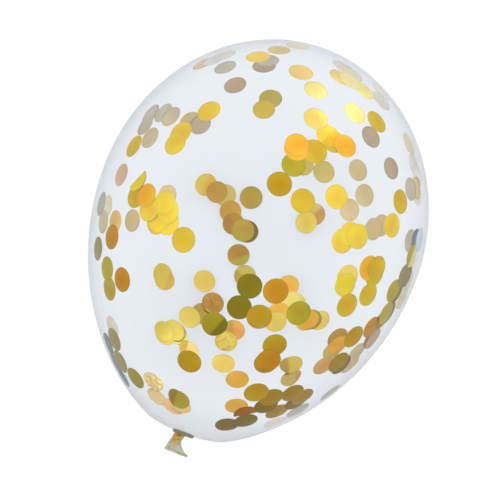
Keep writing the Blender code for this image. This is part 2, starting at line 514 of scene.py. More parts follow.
def bulb_outline():
    """(radius, along) from the crown to the middle of the collar."""
    points = []
    for i in range(CROWN_RINGS + 1):
        turn = math.pi / 2 * i / CROWN_RINGS
        points.append((BULB_RADIUS * math.sin(turn), CROWN_LENGTH * math.cos(turn)))

    last_drop = NECK_LENGTH - BASE_ROUNDING
    last_turn = math.asin(last_drop / TAPER_LENGTH)
    for i in range(1, TAPER_RINGS + 1):
        drop = TAPER_LENGTH * math.sin(last_turn * i / TAPER_RINGS)
        points.append((taper_radius(drop), -drop))

    step = BASE_ROUNDING / 100  # short enough to measure the taper's slope there
    slope = (taper_radius(last_drop - step) - taper_radius(last_drop)) / step
    start = Vector((taper_radius(last_drop), -last_drop))
    bend = Vector((start.x - slope * BASE_ROUNDING, -NECK_LENGTH))
    end = Vector((COLLAR_RADIUS - COLLAR_THICKNESS / 2, -NECK_LENGTH))
    for i in range(1, ROUNDING_RINGS + 1):
        t = i / ROUNDING_RINGS
        point = start.lerp(bend, t).lerp(bend.lerp(end, t), t)
        points.append((point.x, point.y))
    points.append((0, -NECK_LENGTH))
    points[0] = (0, CROWN_LENGTH)
    return points


print(len(bulb_outline()), "points in the bulb's outline")

# %% [markdown]
# A small lathe in mesh code turns an outline. It takes a function that can push each point in or out, which
# is how the gathers near the collar come about: the same skin has to fit round an ever smaller ring, so it
# folds into shallow pleats. Where the balloon rests, its own weight presses a flat spot.

# %% A lathe
def skin_between(shape, upper, lower):
    """Makes the faces between two rings of points. A ring of one point is the tip of a fan."""
    sides = max(len(upper), len(lower))
    made = []
    for i in range(sides):
        j = (i + 1) % sides
        if len(upper) == 1:
            corners = (upper[0], lower[j], lower[i])
        elif len(lower) == 1:
            corners = (upper[i], upper[j], lower[0])
        else:
            corners = (upper[i], upper[j], lower[j], lower[i])
        made.append(shape.faces.new(corners))
    return made


def turned(outline, steps, reshape):
    """A closed skin turned round the balloon's axis. reshape gives each point's place in the scene."""
    shape = bmesh.new()
    rings = []
    for radius, along in outline:
        turns = [2 * math.pi * i / steps for i in range(steps)] if radius > 0 else [0]
        rings.append([shape.verts.new(reshape(radius, turn, along)) for turn in turns])
    for upper, lower in zip(rings, rings[1:]):
        skin_between(shape, upper, lower)
    return shape


def finished_mesh(name, shape):
    """Turns a bmesh into a mesh with all its faces outward."""
    bmesh.ops.recalc_face_normals(shape, faces=shape.faces)
    mesh = bpy.data.meshes.new(name)
    shape.to_mesh(mesh)
    shape.free()
    print(name, len(mesh.polygons), "faces")
    return mesh


def write_attribute(mesh, name, values):
    """Stores a number at each vertex, which a material can read by this name."""
    mesh.attributes.new(name, "FLOAT", "POINT").data.foreach_set("value", values)


def add_piece(name, mesh, finish):
    """Puts a mesh into the scene as a piece of the balloon."""
    mesh.materials.append(finish)
    mesh.shade_smooth()
    piece = bpy.data.objects.new(name, mesh)
    bpy.context.scene.collection.objects.link(piece)
    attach(piece, "root")
    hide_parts("balloon")
    return piece


# %% The turned bulb
BULB_STEPS = 168
GATHER_REACH = 0.016  # how far the pleats run up from the collar
GATHERS = 21
GATHER_DEPTH = 0.00035
GATHER_WOBBLE = 0.8  # how unevenly the pleats are spaced
FLAT_SPOT_SOFTNESS = 0.0008  # how gently the round film meets the flat spot
SLACK_FROM = -0.150  # where the latex begins to be stretched less


def bulb_point(radius, turn, along):
    gather = smooth_step(-NECK_LENGTH + GATHER_REACH, -NECK_LENGTH, along) if radius > 0 else 0
    radius += GATHER_DEPTH * gather * math.cos(GATHERS * turn + GATHER_WOBBLE * math.sin(3 * turn))
    point = at(radius * math.cos(turn), along, radius * math.sin(turn))
    point.z = (point.z + math.hypot(point.z, FLAT_SPOT_SOFTNESS)) / 2
    return point


bulb_mesh = finished_mesh("clear_bulb", turned(bulb_outline(), BULB_STEPS, bulb_point))
slack = [smooth_step(SLACK_FROM, -NECK_LENGTH, vertex.co.y - WIDEST_Y) for vertex in bulb_mesh.vertices]
write_attribute(bulb_mesh, "slack", slack)
bulb = add_piece("clear_bulb", bulb_mesh, film_finish)
bpy.context.view_layer.update()
print("lowest point", round(min(vertex.co.z for vertex in bulb_mesh.vertices), 5))

# %% [markdown]
# ## Collar, knot and tail
# Under the bulb the neck is rolled tight into a thin collar. Below it the neck is tied in an overhand knot:
# a stem with one strand laid over it. What is left of the neck hangs out of the knot as a flattened, flared
# tail, and it ends in the rolled lip that every balloon is blown up by. The collar is turned on the same
# lathe. The knot and the tail are lofted through rings of points, because neither is round.

# %% Collar
COLLAR_GATHERS = 17
GATHER_NARROWING = 0.018  # how far each gather draws the rim in, as a share of its radius
GATHER_RIPPLE = 0.00022  # how far it waves along the axis
COLLAR_WOBBLE = 1.3  # how unevenly the gathers are spaced
COLLAR_STEPS = 136
RIM_RINGS = 10


def collar_outline():
    """(radius, along) of a flat disc with a round rim."""
    rim = COLLAR_THICKNESS / 2
    points = [(0, -NECK_LENGTH), (COLLAR_RADIUS / 2, -NECK_LENGTH)]
    for i in range(RIM_RINGS + 1):
        turn = math.pi / 2 - math.pi * i / RIM_RINGS
        points.append((COLLAR_RADIUS - rim + rim * math.cos(turn), -NECK_LENGTH - rim + rim * math.sin(turn)))
    points.append((COLLAR_RADIUS / 2, -NECK_LENGTH - COLLAR_THICKNESS))
    points.append((0, -NECK_LENGTH - COLLAR_THICKNESS))
    return points


def collar_point(radius, turn, along):
    edge = (radius / COLLAR_RADIUS) ** 2
    fold = math.cos(COLLAR_GATHERS * turn + COLLAR_WOBBLE * math.sin(2 * turn))
    radius *= 1 - GATHER_NARROWING * edge * (1 - fold)
    along += GATHER_RIPPLE * edge * fold
    return at(radius * math.cos(turn), along, radius * math.sin(turn))


collar_mesh = finished_mesh("collar", turned(collar_outline(), COLLAR_STEPS, collar_point))
add_piece("collar", collar_mesh, collar_finish)

# %% [markdown]
# The knot's stem and its strand are made apart and then run together by a voxel remesh, which leaves the
# soft creases that pulled rubber has where one turn presses into the next.

# %% A loft through rings
FLATNESS = 2.5  # how straight a flattened tube's long sides are


def flat_ring(left, right, thickness, along, sides, swell):
    """A ring of two long sides between round ends. swell adds to the radius at each turn."""
    points = []
    for i in range(sides):
        turn = 2 * math.pi * i / sides
        radius = thickness / 2 + swell(turn)
        reach = (right - left - thickness) / 2 * math.tanh(FLATNESS * math.cos(turn)) / math.tanh(FLATNESS)
        across = (left + right) / 2 + reach + radius * math.cos(turn)
        points.append(at(across, along, radius * math.sin(turn)))
    return points


def loft(shape, rings, closed=False):
    """Skins a bmesh through these rings. The ends are filled, or joined to each other if it is closed."""
    loops = [[shape.verts.new(point) for point in ring] for ring in rings]
    for upper, lower in zip(loops, loops[1:]):
        skin_between(shape, upper, lower)
    if closed:
        skin_between(shape, loops[-1], loops[0])
    else:
        shape.faces.new(loops[0])
        shape.faces.new(loops[-1])


# %% Stem of the knot
KNOT_WIDTH, KNOT_DEPTH, KNOT_LENGTH = 0.0098, 0.0082, 0.0105
KNOT_OFFSET, KNOT_LEAN = -0.0026, -0.0014  # across, at its top and how much further at its foot
KNOT_FOOT_WIDTH, KNOT_FOOT_DEPTH = 0.0078, 0.0058
KNOT_TAPER = 1.5  # over 1 narrows late
KNOT_RIDGES, RIDGE_HEIGHT = 5, 0.00035
KNOT_TWIST = 1.6  # half turns that the ridges make from top to foot
KNOT_SIDES, KNOT_RINGS = 60, 40


def knot_ring(s):
    """The stem's outline at share s of the way from its top to its foot."""
    centre = KNOT_OFFSET + KNOT_LEAN * s
    width = mix(KNOT_WIDTH, KNOT_FOOT_WIDTH, s**KNOT_TAPER)
    depth = mix(KNOT_DEPTH, KNOT_FOOT_DEPTH, s**KNOT_TAPER)
    along = -NECK_LENGTH - COLLAR_THICKNESS / 2 - KNOT_LENGTH * s
    twist = KNOT_TWIST * s

    def ridges(turn):
        return RIDGE_HEIGHT * math.cos(KNOT_RIDGES * turn + twist * math.pi)

    return flat_ring(centre - width / 2, centre + width / 2, depth, along, KNOT_SIDES, ridges)


knot_shape = bmesh.new()
loft(knot_shape, [knot_ring(i / KNOT_RINGS) for i in range(KNOT_RINGS + 1)])
print("stem", len(knot_shape.faces), "faces")

# %% Strand over the knot
STRAND = 0.0032
STRAND_DROP = 0.0058  # collar to its middle
STRAND_TILT = math.radians(-32)
STRAND_SHARE, STRAND_SWELL = 0.94, 0.06  # its thickness on average, and how much that changes
STRAND_RIBS, RIB_TURNS, RIB_SHARE = 4, 2, 0.05
STRAND_SIDES, STRAND_RINGS = 20, 90
KNOT_VOXEL = 0.00028  # the smallest crease that the remesh keeps


def strand_rings():
    """The last turn of the knot: a ring of rubber, tilted, and pulled thinner at its back."""
    middle = at(KNOT_OFFSET + KNOT_LEAN * STRAND_DROP / KNOT_LENGTH, -NECK_LENGTH - STRAND_DROP)
    up = Vector((math.sin(STRAND_TILT), math.cos(STRAND_TILT), 0))
    path = (KNOT_WIDTH - STRAND) / 2 + STRAND / 4
    rings = []
    for i in range(STRAND_RINGS):
        turn = 2 * math.pi * i / STRAND_RINGS
        aside = math.cos(turn)
        outward = Vector((aside * math.cos(STRAND_TILT), -aside * math.sin(STRAND_TILT), math.sin(turn)))
        thick = STRAND / 2 * (STRAND_SHARE + STRAND_SWELL * math.sin(turn))
        ring = []
        for j in range(STRAND_SIDES):
            side = 2 * math.pi * j / STRAND_SIDES
            rib = 1 + RIB_SHARE * math.cos(STRAND_RIBS * side + RIB_TURNS * turn)
            reach = outward * (path + thick * rib * math.cos(side))
            rise = up * thick * rib * math.sin(side)
            ring.append(middle + reach + rise)
        rings.append(ring)
    return rings


def run_together(piece, voxel, smoothing):
    """Melts the overlapping shapes of a piece into one skin."""
    remesh = piece.modifiers.new("run_together", "REMESH")
    remesh.mode = "VOXEL"
    remesh.voxel_size = voxel
    remesh.use_smooth_shade = True
    smooth = piece.modifiers.new("settle", "SMOOTH")
    smooth.factor = 0.5
    smooth.iterations = smoothing


loft(knot_shape, strand_rings(), closed=True)
knot = add_piece("knot", finished_mesh("knot", knot_shape), knot_finish)
run_together(knot, KNOT_VOXEL, smoothing=3)

# %% [markdown]
# The tail is a skirt with a wall of its own, open at the mouth. Its outer skin runs down from the knot to
# the lip, turns over there and runs back up inside. The folds start sharp at the knot, where the rubber is
# squeezed, and open towards the lip.

# %% Tail
TAIL_DROP, LIP_DROP = 0.0078, 0.0185  # collar to where the tail leaves the knot, and to the lip
TAIL_LEFT, TAIL_RIGHT = -0.0082, 0.0004  # its edges across, at the knot
LIP_LEFT, LIP_RIGHT = -0.0108, 0.0098  # the same, at the lip
LEFT_FLARE, RIGHT_FLARE = 0.5, 1.8  # under 1 flares at once, over 1 flares late
TAIL_THICKNESS, LIP_THICKNESS = 0.0070, 0.0062
TAIL_WALL = 0.0007
MOUTH_DEPTH = 0.0065
PLEATS, PLEAT_HEIGHT = 5, 0.00050  # sharp folds at the knot
WAVES, WAVE_HEIGHT, WAVE_START = 3, 0.00030, 0.6  # soft ones at the lip
RIPPLES, RIPPLE_HEIGHT, RIPPLE_LEAN = 11, 0.00016, 3  # small ones all the way
TAIL_SIDES, TAIL_RINGS, MOUTH_RINGS = 132, 30, 16


def tail_ring(s, inset=0.0):
    """The tail's outline at share s of the way from the knot to the lip, set in by a wall."""
    left = mix(TAIL_LEFT, LIP_LEFT, s**LEFT_FLARE) + inset
    right = mix(TAIL_RIGHT, LIP_RIGHT, s**RIGHT_FLARE) - inset
    thickness = mix(TAIL_THICKNESS, LIP_THICKNESS, s) - 2 * inset
    along = -NECK_LENGTH - mix(TAIL_DROP, LIP_DROP, s)

    def folds(turn):
        pleat = PLEAT_HEIGHT * (1 - s) * math.cos(PLEATS * turn)
        wave = WAVE_HEIGHT * s * math.sin(WAVES * turn + WAVE_START)
        return pleat + (wave + RIPPLE_HEIGHT * math.sin(RIPPLES * turn + RIPPLE_LEAN * s))

    return flat_ring(left, right, thickness, along, TAIL_SIDES, folds)


mouth_floor = 1 - MOUTH_DEPTH / (LIP_DROP - TAIL_DROP)
tail_rings = [tail_ring(i / TAIL_RINGS) for i in range(TAIL_RINGS + 1)]
tail_rings += [tail_ring(mix(1, mouth_floor, i / MOUTH_RINGS), TAIL_WALL) for i in range(MOUTH_RINGS + 1)]
tail_shape = bmesh.new()
loft(tail_shape, tail_rings)
tail_mesh = finished_mesh("tail", tail_shape)
print("mouth", round(MOUTH_DEPTH * 1000, 1), "mm deep")

# %% Amber down the tail
AMBER_MIDDLE, AMBER_FOOT = -0.0040, -0.0048  # across, where it is strongest at the knot and at the lip
AMBER_REACH = 0.0052  # from there to its edge
AMBER_FULL, AMBER_NONE = 0.45, 1.15  # where it begins to fade and where it is gone, in reaches
AMBER_AT_LIP = 0.55
AMBER_FADED = 0.9  # share of the way down by which it has faded


def add_amber(mesh, amount):
    """Writes the attribute amber. amount takes a vertex's place across and its drop from the collar."""
    places = [(vertex.co.x - NECK_LEAN, WIDEST_Y - NECK_LENGTH - vertex.co.y) for vertex in mesh.vertices]
    write_attribute(mesh, "amber", [amount(*place) for place in places])


def tail_amber(across, drop):
    """Most at the knot, and fading down the middle of the tail."""
    s = (drop - TAIL_DROP) / (LIP_DROP - TAIL_DROP)
    aside = abs(across - mix(AMBER_MIDDLE, AMBER_FOOT, s)) / AMBER_REACH
    faded = mix(1.0, AMBER_AT_LIP, smooth_step(0, AMBER_FADED, s))
    return (1 - smooth_step(AMBER_FULL, AMBER_NONE, aside)) * faded


add_amber(tail_mesh, tail_amber)
add_piece("tail", tail_mesh, tail_finish)
print("amber at the knot", round(tail_amber(AMBER_MIDDLE, TAIL_DROP), 2), "and at the lip", AMBER_AT_LIP)

# %% Rolled lip
BEAD = 0.0020
BEAD_SHARE, BEAD_SWELL, BEAD_SWELLS = 0.93, 0.07, 350  # thickness on average, its change, swells a metre
BEAD_SIDES = 16
LIP_PALE_TO, LIP_AMBER_FROM = -0.0015, 0.0025  # across, where the lip turns from pale to amber


def bead_rings():
    """Circles round the middle of the tail's wall at the lip, a little uneven, as rolled rubber is."""
    line = tail_ring(1, TAIL_WALL / 2)
    rings = []
    for i, point in enumerate(line):
        ahead = line[(i + 1) % len(line)] - line[i - 1]
        outward = ahead.cross(Vector((0, 1, 0))).normalized()
        radius = BEAD / 2 * (BEAD_SHARE + BEAD_SWELL * noise.noise(point * BEAD_SWELLS))
        ring = []
        for j in range(BEAD_SIDES):
            side = 2 * math.pi * j / BEAD_SIDES
            ring.append(point + radius * (outward * math.cos(side) + Vector((0, math.sin(side), 0))))
        rings.append(ring)
    return rings


lip_shape = bmesh.new()
loft(lip_shape, bead_rings(), closed=True)
lip_mesh = finished_mesh("rolled_lip", lip_shape)
add_amber(lip_mesh, lambda across, drop: smooth_step(LIP_PALE_TO, LIP_AMBER_FROM, across))
add_piece("rolled_lip", lip_mesh, lip_finish)

# %% [markdown]
# ## Gold foil
# The confetti is punched from metallised film. Its colour is what it mirrors, and each disc's tone has that
# reflection painted in: lemon, a painted highlight, where it catches the light, and brown or olive, a painted
# shade, where it faces away. The side that lies against the latex is clear gold. The side that looks into the
# balloon mirrors only pale latex and other discs, so its tone is a duller, greyer painted reflection. Each
# side of each disc keeps its own tone in the mesh, and the material adds what foil has everywhere: fine
# creases and a slow change of tone. It also paints the rim darker, paler and greener, a painted reflection
# and shade: a disc that follows the round wall mirrors more of the pale surroundings towards its rim, so its
# colour is warmest in the middle.

# %% Tones of the foil, with their reflections painted in
def screen_tones(**tones):
    """Screen colours by name, as linear light."""
    return {name: screen(*colour) for name, colour in tones.items()}


# Each tone is the foil's gold with its reflection painted in: the light tones are painted highlights and the
# dark ones painted shade.
OUTER_TONES_WITH_PAINTED_REFLECTION = screen_tones(
    lemon=(255, 232, 142), cream_gold=(255, 238, 184), peach=(255, 236, 168), honey=(255, 216, 134),
    butter=(255, 216, 106), bright=(255, 214, 72), yellow=(254, 210, 74), lime=(246, 214, 62),
    orange=(255, 184, 52), gold=(224, 184, 48), dark_gold=(194, 150, 22), olive=(188, 166, 42),
    moss=(168, 148, 26), dark_olive=(134, 116, 10), brown=(202, 136, 18), rust=(166, 102, 10),
    umber=(136, 98, 22), bronze=(166, 128, 28), dark_bronze=(134, 108, 6), drab=(164, 146, 88),
    dusky=(192, 156, 130), smoke=(186, 182, 160), ice=(212, 217, 228), slate=(124, 127, 122),
)
INNER_TONES_WITH_PAINTED_REFLECTION = screen_tones(
    pearl=(255, 252, 244), silver=(248, 242, 234), grey=(222, 214, 196), beige=(228, 212, 178),
    rose=(250, 212, 180), peach_straw=(252, 210, 132), champagne=(248, 220, 160),
    mauve=(210, 188, 162), taupe=(226, 202, 154), oat=(255, 244, 212), khaki=(214, 192, 114),
    brass=(188, 158, 72), copper=(184, 138, 66), tan=(204, 158, 76), salmon=(230, 176, 112),
    straw=(234, 204, 96), lemon_straw=(244, 222, 118), peach_foil=(255, 204, 138),
    honey_straw=(255, 214, 108), apricot=(244, 184, 76), dusk=(134, 110, 56),
)
# Flap tones are painted reflections: the colour that a bent or tilted part shows by mirroring something else.
FLAP_PAINTED_REFLECTION_TONES = screen_tones(
    amber_gold=(236, 186, 50), pale_lime=(252, 220, 108), pale_olive=(232, 218, 160),
    deep_drab=(150, 132, 84), deep_moss=(134, 118, 14), old_gold=(170, 128, 20),
    corn=(228, 200, 66), warm_straw=(236, 184, 84), reed=(182, 168, 72), hay=(208, 190, 96),
    fawn=(202, 158, 88), wheat=(214, 176, 84), caramel=(202, 148, 68), orange_tan=(236, 170, 88),
    sand=(226, 184, 84), bright_honey=(250, 204, 84), pale_apricot=(236, 190, 120),
    dull_straw=(196, 164, 84), vanilla=(255, 222, 146),
)
print(len(OUTER_TONES_WITH_PAINTED_REFLECTION), "tones outside,", len(INNER_TONES_WITH_PAINTED_REFLECTION), "inside and", len(FLAP_PAINTED_REFLECTION_TONES), "on flaps")

# %% Foil material
SLOW_PATCHES, HUE_PATCHES, CREASES, GRAIN = 55.0, 80.0, 170.0, 900.0  # how many there are in a metre
BRIGHTNESS = 0.93, 1.05  # of the tone, from patch to patch
HUE = 0.480, 0.508  # the same, where 0.5 leaves the tone as it is
# The rim's darkening, paling and change of hue are painted reflection and shade, not the foil's own colour.
RIM_BRIGHTNESS, RIM_FROM = 0.94, 0.70  # painted shade at the rim, and where it begins, in radii
RIM_SATURATION, PALER_FROM = 0.98, 0.55  # the same for how pale it turns
RIM_HUE = 0.016  # what the rim adds to the hue
FOIL_ROUGHNESS = 0.26, 0.46
CREASE_STRENGTH, CREASE_DEPTH = 0.25, 0.0008


def foil_material():
    made, tree, shader = new_material("gold_foil")
    place = add_node(tree, "ShaderNodeTexCoord").outputs["Object"]
    # The tone stored in the mesh is the foil's colour with a painted reflection in it.
    tone = attribute(tree, "foil_tone_with_painted_reflection")["Color"]
    rim = attribute(tree, "foil_rim")["Fac"]

    patches = noise_value(tree, place, SLOW_PATCHES, 1.0)
    brightness = remap(tree, patches, *BRIGHTNESS, NOISE_LOW, NOISE_HIGH)
    # Painted reflection and shade: the rim is darkened here, and paled and turned greener below.
    rim_painted_shade = remap(tree, rim, 1, RIM_BRIGHTNESS, from_low=RIM_FROM, curve="SMOOTHSTEP")
    hue = remap(tree, noise_value(tree, place, HUE_PATCHES, 0.0), *HUE)
    colour = add_node(
        tree,
        "ShaderNodeHueSaturation",
        Color=tone,
        Hue=math_node(tree, "MULTIPLY_ADD", rim, RIM_HUE, hue),
        Saturation=remap(tree, rim, 1, RIM_SATURATION, from_low=PALER_FROM, curve="SMOOTHSTEP"),
        Value=math_node(tree, "MULTIPLY", brightness, rim_painted_shade),
    )
    creases = add_node(
        tree, "ShaderNodeTexVoronoi", {"feature": "DISTANCE_TO_EDGE"}, Vector=place, Scale=CREASES
    )
    set_inputs(
        tree,
        shader,
        Base_Color=colour.outputs["Color"],
        Metallic=1.0,
        Roughness=remap(tree, noise_value(tree, place, GRAIN, 3.0), *FOIL_ROUGHNESS),
        Normal=bump_normal(tree, creases.outputs["Distance"], CREASE_STRENGTH, CREASE_DEPTH),
    )
    return made


foil = foil_material()
print("foil", len(foil.node_tree.nodes), "nodes")

# %% [markdown]
# ## Finding the wall
# Each disc is placed by where the photograph shows it: so many centimetres across and along, in the plane
# through the middle of the balloon that faces the camera. A ray from the camera through that place meets the
# balloon twice, once on the near wall and once on the far one. A place just past the outline is drawn in
# until its ray meets the balloon. The disc lies against the inside of whichever wall it is on, and it is
# wrapped to it, so it touches the latex seen from any side.

# %% Find a place on the wall
DRAW_IN = 0.995  # what a place past the outline is multiplied by, again and again
PAST_FILM = 0.0005  # how far behind the near wall the ray to the far one starts


def wall_under(across, along, wall):
    """(place, normal) where the camera's ray through this place in the picture meets the near or far wall."""
    found = False
    while not found:
        ray = (aim + facing @ Vector((across, WIDEST_Y + along, 0)) - camera.location).normalized()
        found, place, normal, _ = bulb.ray_cast(camera.location, ray)
        across, along = across * DRAW_IN, along * DRAW_IN
    if wall == "far":
        _, place, normal, _ = bulb.ray_cast(place + ray * PAST_FILM, ray)
    return place, normal


near_middle, _ = wall_under(0, 0, "near")
far_middle, _ = wall_under(0, 0, "far")
print("walls at the middle", round(near_middle.z, 4), "and", round(far_middle.z, 4), "m above the floor")

# %% [markdown]
# ## One disc
# A disc is a flat ring mesh wrapped to the wall, with a thickness, so that it has two sides to colour. Discs
# that overlap lie one further in than the other. A few have been bent: a creased one has a flap that stands
# off the wall, a folded one is bent double, and a crumpled one stands off unevenly. Where the foil turns away
# it mirrors something else, so the part that is bent can have a painted reflection, a tone of its own. So can
# one half of a flat disc, where it is tilted too little to be worth bending, and there the painted reflection
# stands in for the tilt.

# %% Bend a disc
DISC_RADIUS = 0.0108
CREASE_PLACE = 0.25  # where the crease crosses the disc, in radii from its middle
CREASE_LIFT = math.tan(math.radians(20))  # how steeply the flap stands off
FOLD_GAP = 0.0005  # between the two halves of a folded disc
FOLD_ROUNDING = 0.2  # the width of the bend between them, in radii
CRUMPLE_LIFT, CRUMPLES = 0.0014, 210  # how far it stands off, and how many bumps there are in a metre
FLAP_BLEND = 0.18  # half the width over which the flap's painted reflection sets in, in radii
CRUMPLE_BLEND = 0.0002, 0.0006  # how far off the wall a crumpled disc begins to turn away, and has


def bent_place(bend, a, b, seed):
    """Where (a, b) on the flat disc comes to on the bent one, and how far it stands off the wall there."""
    if bend == "creased":
        return a, b, max(a - CREASE_PLACE * DISC_RADIUS, 0) * CREASE_LIFT
    if bend == "folded":
        return abs(a), b, FOLD_GAP * smooth_step(0, FOLD_ROUNDING * DISC_RADIUS, -a)
    if bend == "crumpled":
        return a, b, CRUMPLE_LIFT * abs(noise.noise(Vector((a, b, seed)) * CRUMPLES))
    return a, b, 0.0


def flap_share(bend, a, lift):
    """How much of the flap's painted reflection a point has. a is in radii towards the flap, and lift is off
    the wall.
    """
    if bend == "crumpled":
        return smooth_step(*CRUMPLE_BLEND, lift)
    crease = CREASE_PLACE if bend == "creased" else 0.0
    return smooth_step(crease - FLAP_BLEND, crease + FLAP_BLEND, a)


flap_tip = bent_place("creased", DISC_RADIUS, 0, seed=0)[2]
print("disc", round(DISC_RADIUS * 2000, 1), "mm wide, flap", round(flap_tip * 1000, 1), "mm off the wall")

# %% Lay a disc against the wall
RADIUS_RANGE = 0.97, 1.02  # from disc to disc
CURL_MOST = 0.0002  # how far a rim may curl off the wall
WALL_GAP = 0.0004  # latex to foil
STACK_STEP = 0.00018  # from a disc to the next that overlaps it
FOIL_THICKNESS = 0.0001
FLAT_MESH, BENT_MESH = (6, 30), (12, 48)  # rings, and points in a ring


def disc_rings(disc, place, normal, dice):
    """A disc's points, in rings from its middle to its rim. Each says where the latex is under it, the normal
    there, how far off that it stands, how near the rim it is, and how much of the flap's painted reflection
    it has."""
    heading = dice.uniform(0, 2 * math.pi) if disc.heading is None else math.radians(disc.heading)
    first = (Vector((1, 0, 0)) - normal * normal.x).normalized()
    second = normal.cross(first) * math.copysign(1, normal.z)
    flapward = first * math.cos(heading) + second * math.sin(heading)
    aside = second * math.cos(heading) - first * math.sin(heading)
    radius = DISC_RADIUS * dice.uniform(*RADIUS_RANGE)
    seed = dice.uniform(0, 9)
    curl = dice.uniform(0, CURL_MOST)
    count, sides = FLAT_MESH if disc.bend == "flat" else BENT_MESH
    rings = []
    for ring in range(count + 1):
        rim = math.sin(math.pi / 2 * ring / count)
        points = []
        for i in range(sides if ring else 1):
            turn = 2 * math.pi * i / sides
            flat_a, flat_b = radius * rim * math.cos(turn), radius * rim * math.sin(turn)
            a, b, lift = bent_place(disc.bend, flat_a, flat_b, seed)
            lift += curl * rim * (b / radius) ** 2
            _, foot, foot_normal, _ = bulb.closest_point_on_mesh(place + flapward * a + aside * b)
            points.append((foot, foot_normal, lift, rim, flap_share(disc.bend, flat_a / radius, lift)))
        rings.append(points)
    return rings


def lay_disc(shape, layers, rings, level, tones, flap_tone):
    """Adds one disc to the bmesh: a sheet for each side and an edge between them. level counts the discs
    between it and the latex, and tones are for the outer side, the inner side and the edge."""
    tone_layer, rim_layer = layers
    outer, inner, edge = tones
    sheets = []
    on_flap = {}
    for depth in (0, FOIL_THICKNESS):
        sheet = []
        for points in rings:
            row = []
            for foot, normal, lift, rim, flap in points:
                vert = shape.verts.new(foot - normal * (WALL_GAP + STACK_STEP * level + lift + depth))
                vert[rim_layer] = rim
                on_flap[vert] = flap
                row.append(vert)
            sheet.append(row)
        sheets.append(sheet)

    # Each face gets its side's tone, blended towards the flap's painted reflection.
    def colour(faces, tone):
        for face in faces:
            for loop in face.loops:
                loop[tone_layer] = Vector(tone).lerp(Vector(flap_tone or tone), on_flap[loop.vert])

    for sheet, tone in zip(sheets, (outer, inner)):
        for upper, lower in zip(sheet, sheet[1:]):
            colour(skin_between(shape, upper, lower), tone)
    colour(skin_between(shape, sheets[0][-1], sheets[1][-1]), edge)


print("foil", FOIL_THICKNESS * 1000, "mm thick,", WALL_GAP * 1000, "mm inside the latex")

# %% [markdown]
# ## Where the discs lie
# The places are read off the photograph, in centimetres from the widest station, patch by patch. On
# the near wall we look at the outer side of each disc, and on the far wall at the inner side. A disc that is
# listed before another, and overlaps it, lies closer to the latex. A disc that is bent, or has two tones,
# also says how it is bent, the heading of its flap in degrees from across towards the crown, and the flap's
# tone.

# %% Discs on the near wall
Disc = namedtuple("Disc", "tone across along bend heading flap_tone", defaults=("flat", None, None))

NEAR_CROWN = [
    ("butter", -5.4, 13.78), ("honey", -1.3, 13.82), ("lemon", 0.5, 12.8), ("peach", 3.1, 14.62),
    ("honey", 2.2, 14.68), ("lemon", 4.62, 14.3), ("lemon", 4.5, 12.1), ("gold", 6.6, 12.05),
    ("yellow", -7.8, 7.7), ("butter", 1.4, 10.4), ("orange", 4.72, 9.05),
    ("yellow", 2.98, 9.35, "flat", -20, "amber_gold"), ("gold", 3.55, 9.08), ("orange", 0.66, 7.62),
    ("orange", 0.74, 7.3), ("gold", 2.36, 7.65), ("olive", 1.0, 5.85),
]
NEAR_FLANKS = [
    ("yellow", -9.6, 3.9), ("yellow", -9.5, 5.0), ("gold", -13.0, 2.4), ("dark_gold", 0.4, 3.8),
    ("gold", 2.9, 3.1), ("yellow", 5.6, 4.5), ("gold", 11.1, 6.1), ("yellow", 11.15, 3.85),
    ("bright", 8.62, 1.85), ("bright", 7.95, 1.8), ("bright", 7.5, 1.0), ("gold", 11.2, -0.2),
    ("orange", 10.55, -0.45), ("gold", 11.22, -0.8), ("gold", 11.35, -2.7), ("gold", 9.88, -4.25),
    ("lime", 9.1, -2.6), ("lime", 9.05, -1.85, "flat", 90, "pale_lime"),
    ("olive", 13.74, 1.9, "flat", 0, "pale_olive"), ("ice", 13.93, 3.5), ("slate", 13.66, 3.3),
    ("drab", 13.75, 0.0, "flat", 0, "deep_drab"), ("dark_olive", 13.98, 0.1),
]
NEAR_LEFT_PATCH = [
    ("lime", -11.68, -0.25, "folded", -34, None), ("orange", -10.4, -1.33), ("gold", -11.28, -1.7),
    ("yellow", -9.8, -2.4), ("bright", -8.72, -1.4), ("bright", -8.15, -2.0), ("bright", -8.72, -3.05),
    ("bright", -7.8, -2.95), ("orange", -8.75, -3.25), ("gold", -5.9, -3.9), ("brown", -12.0, -5.9),
    ("drab", -12.8, -7.3), ("olive", -11.4, -8.7), ("olive", -10.6, -10.3), ("brown", -9.8, -9.15),
    ("smoke", -13.92, -3.45),
]
NEAR_TAPER = [
    ("dark_olive", 1.1, -5.7), ("dark_gold", 2.87, -7.96), ("dark_olive", 0.9, -7.8), ("brown", 3.45, -5.3),
    ("olive", 6.07, -6.42), ("moss", -0.65, -10.0, "creased", -20, "deep_moss"), ("brown", 5.0, -11.35),
    ("brown", 4.9, -11.6), ("dark_gold", 5.08, -9.88), ("dark_gold", -1.6, -13.9),
    ("olive", -1.35, -17.42, "creased", 180, "old_gold"), ("olive", 13.35, -1.6),
    ("dark_olive", 13.68, -1.5), ("olive", 13.45, -3.7), ("dark_olive", 13.68, -3.55),
    ("bronze", 13.38, -4.25), ("brown", 12.7, -5.35), ("dusky", 13.22, -6.3), ("bronze", 13.08, -6.27),
    ("dark_gold", 11.42, -6.7), ("bronze", 10.95, -9.3), ("umber", 11.26, -9.42), ("smoke", 11.2, -12.12),
]
